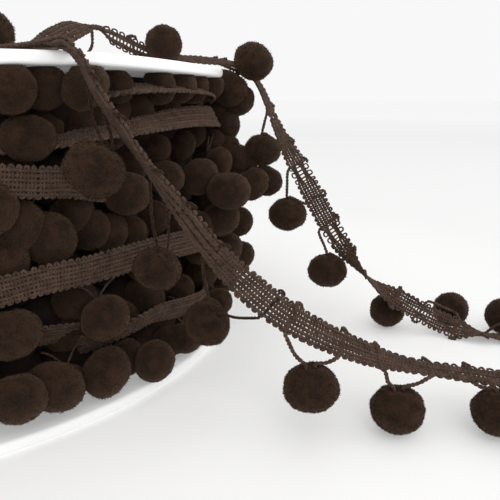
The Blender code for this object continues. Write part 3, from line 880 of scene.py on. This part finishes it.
def drum(core_painted_shade):
    """The inside of the winding, which is dark with painted shade."""
    n, walls = DRUM_SIDES, range(len(DRUM_RINGS) - 1)
    turn = 2 * np.pi * np.arange(n) / n
    points = [(r * math.cos(a), r * math.sin(a), z) for r, z in DRUM_RINGS for a in turn]
    points += [(0.0, 0.0, DRUM_RINGS[0][1]), (0.0, 0.0, DRUM_RINGS[-1][1])]
    i = np.arange(n)
    j = (i + 1) % n
    under, over = np.full(n, n * len(DRUM_RINGS)), np.full(n, n * len(DRUM_RINGS) + 1)
    core_painted_shade.add(points, np.concatenate([
        *(np.stack([n * r + i, n * r + j, n * (r + 1) + j], axis=1) for r in walls),
        *(np.stack([n * r + i, n * (r + 1) + j, n * (r + 1) + i], axis=1) for r in walls),
        np.stack([under, j, i], axis=1),
        np.stack([over, n * len(walls) + i, n * len(walls) + j], axis=1),
    ]))


def far_band(height, tip, tip_azimuth, radius):
    """A turn of header round the sides that face away, which dips in at both ends."""
    rows = []
    for azimuth in range(10, 295, 15):
        lift = tip * math.sin(math.radians(azimuth - tip_azimuth))
        dip = 4.0 if azimuth in (10, 280) else 1.2 * math.sin(azimuth * 0.11 + height)
        lean = 0.25 * math.sin(azimuth * 0.07 + height)
        rows.append((azimuth, height + lift, radius - dip, lean))
    return band_strip(rows)


def wound_turns():
    """The wound turns: their pompoms, drop cords and header, and the inside, dark with painted
    shade.
    """
    upper, lower, far, core_painted_shade = Batch(), Batch(), Batch(), Batch()
    warp, weft, far_weave, legs = Batch(), Batch(), Batch(), Batch()
    # the near side, placed as in the photo
    for k, (azimuth, z, radius, wide) in enumerate(NEAR_POMPOMS):
        out = outward(math.radians(azimuth))
        centre = out * radius + UP * z
        way = hanging(out)
        put_pompom(upper if z > UPPER_PIECE_ABOVE else lower, NEAR, centre, wide, way, pressed=True)
        if k % 3 == 0 and azimuth < LEGS_UNTIL:
            wound_legs(legs, out, radius, z, centre - way * wide * 0.36)
    # the other sides, in the solid's rows
    fine_side = (NEAR_SIDE[0] - FINE_MARGIN, NEAR_SIDE[1] + FINE_MARGIN)
    for angle, z, radius in far_pompoms():
        azimuth = (math.degrees(angle) + 180) % 360 - 180
        if within(azimuth, NEAR_SIDE):
            continue
        out = outward(angle)
        way = hanging(out)
        wide = ROW_WIDE + ROW_WIDE_SPREAD * rng.normal()
        batch, kinds = far, FAR
        if within(azimuth, fine_side):
            batch, kinds = (upper if z > UPPER_PIECE_ABOVE else lower), NEAR
        put_pompom(batch, kinds, out * radius + UP * z, wide, way, pressed=True)
    # the layer behind them
    for row, height in enumerate(INSIDE_HEIGHTS):
        for k in range(INSIDE_COUNT):
            out = outward(2 * math.pi * (k + 0.5 * (row % 2)) / INSIDE_COUNT)
            put_pompom(core_painted_shade, INSIDE, out * INSIDE_RADIUS + UP * height, INSIDE_WIDE, out)
    # the turns of header, and the inside, dark with painted shade
    for rows in NEAR_BANDS:
        weave(warp, weft, band_strip(rows))
    for band in FAR_BANDS:
        weave(far_weave, far_weave, far_band(*band), coarse=True)
    drum(core_painted_shade)
    made = [
        upper.build("wound_pompoms_upper", PILE),
        lower.build("wound_pompoms_lower", PILE),
        far.build("wound_pompoms_back", PILE),
        # the inside, in the darker pile colour: painted shade
        core_painted_shade.build("wound_inside", PILE_PAINTED_SHADE),
        legs.build("wound_drop_cords", CORD),
        warp.build("wound_header_warp", YARN),
        weft.build("wound_header_weft", YARN),
        far_weave.build("wound_header_back", YARN),
    ]
    for obj in made:
        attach(obj, "root")
    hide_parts("roll")
    return made


pieces = [
    flange("flange_bottom_moulded", "flange_bottom", 0.0, PLASTIC_SHADE_LIFTED),
    flange("flange_top_moulded", "flange_top", CEILING, PLASTIC, warped=True),
    *loose_length(),
    *wound_turns(),
]
for piece in pieces:
    print("TRIS", piece.name, sum(len(p.vertices) - 2 for p in piece.data.polygons))

# ---------------------------------------------------------------- floor, light and camera

FLOOR_HALF = 9.0  # metres
# The floor's glow is painted light, which lifts the shadows on it.
FLOOR_SHADOW_LIFTING_GLOW = 0.28
SKY_STRENGTH = 0.94
# The paper's tone by distance from the reel's axis, as a share of FADE metres. The brighter tone
# close to the reel is painted light, which lifts the reel's shade.
FADE = 4.0
FLOOR_TONES_AND_PAINTED_LIGHT = (
    (0.033, (0.67, 0.664, 0.658)), (0.065, (0.58, 0.579, 0.577)), (0.25, (0.575, 0.575, 0.575)),
    (0.5, (0.66, 0.66, 0.66)),
)


def paper_floor():
    """White paper, a little brighter under the reel, which is painted light that lifts the reel's
    shade, and in the distance. Its even glow is painted light too, which lifts the shadows on it.
    """
    h = FLOOR_HALF
    mesh = bpy.data.meshes.new("floor")
    mesh.from_pydata([(-h, -h, 0), (h, -h, 0), (h, h, 0), (-h, h, 0)], [], [(0, 1, 2, 3)])
    floor = bpy.data.objects.new("floor", mesh)
    bpy.context.scene.collection.objects.link(floor)
    made, tree, shader = new_material("floor_paper_painted_light")
    coords = tree.nodes.new("ShaderNodeTexCoord").outputs["Object"]
    away = tree.nodes.new("ShaderNodeVectorMath")
    away.operation = "LENGTH"
    tree.links.new(coords, away.inputs[0])
    share = math_node(tree, "DIVIDE", away.outputs["Value"], FADE)
    ramp = ramp_node(tree, share.outputs[0], FLOOR_TONES_AND_PAINTED_LIGHT)
    tree.links.new(ramp.outputs["Color"], shader.inputs["Base Color"])
    # painted light: the floor's even glow lifts the shadows on it
    shader.inputs["Emission Color"].default_value = (1.0, 1.0, 1.0, 1.0)
    shader.inputs["Emission Strength"].default_value = FLOOR_SHADOW_LIFTING_GLOW
    shader.inputs["Roughness"].default_value = 0.8
    shader.inputs["Specular IOR Level"].default_value = 0.1
    mesh.materials.append(made)


paper_floor()

world = bpy.data.worlds.new("studio")
bpy.context.scene.world = world
world.use_nodes = True
sky = world.node_tree.nodes["Background"].inputs
sky["Color"].default_value = (1.0, 1.0, 1.0, 1.0)
sky["Strength"].default_value = SKY_STRENGTH


def soft_light(name, at, aim, size, power):
    """A round white softbox. Places are in metres, and the power is in watts."""
    lamp = bpy.data.lights.new(name, "AREA")
    lamp.shape = "DISK"
    lamp.size = size
    lamp.energy = power
    obj = bpy.data.objects.new(name, lamp)
    obj.location = at
    obj.rotation_euler = (Vector(aim) - Vector(at)).to_track_quat("-Z", "Y").to_euler()
    bpy.context.scene.collection.objects.link(obj)


soft_light("front_softbox", at=(0.2, -1.0, 0.65), aim=(0.1, -0.05, 0.0), size=1.2, power=6.0)
soft_light("right_softbox", at=(1.3, -0.3, 0.6), aim=(0.12, -0.03, 0.02), size=1.0, power=2.2)

# The camera, as fitted to the rims of both flanges and to the floor line.
PHOTO_WIDE = 500.0
FOCAL_PIXELS = 613.0
SENSOR_WIDE = 36.0
LOOKS_DOWN = 0.246  # radians
lens = bpy.data.cameras.new("camera")
lens.sensor_width = SENSOR_WIDE
lens.lens = FOCAL_PIXELS / PHOTO_WIDE * SENSOR_WIDE
lens.clip_start = 0.01
camera = bpy.data.objects.new("camera", lens)
camera.location = (0.108, -0.1905, 0.0702)
camera.rotation_euler = (math.pi / 2 - LOOKS_DOWN, 0.0, 0.0)
bpy.context.scene.collection.objects.link(camera)
bpy.context.scene.camera = camera
bpy.context.scene.view_settings.view_transform = "Standard"
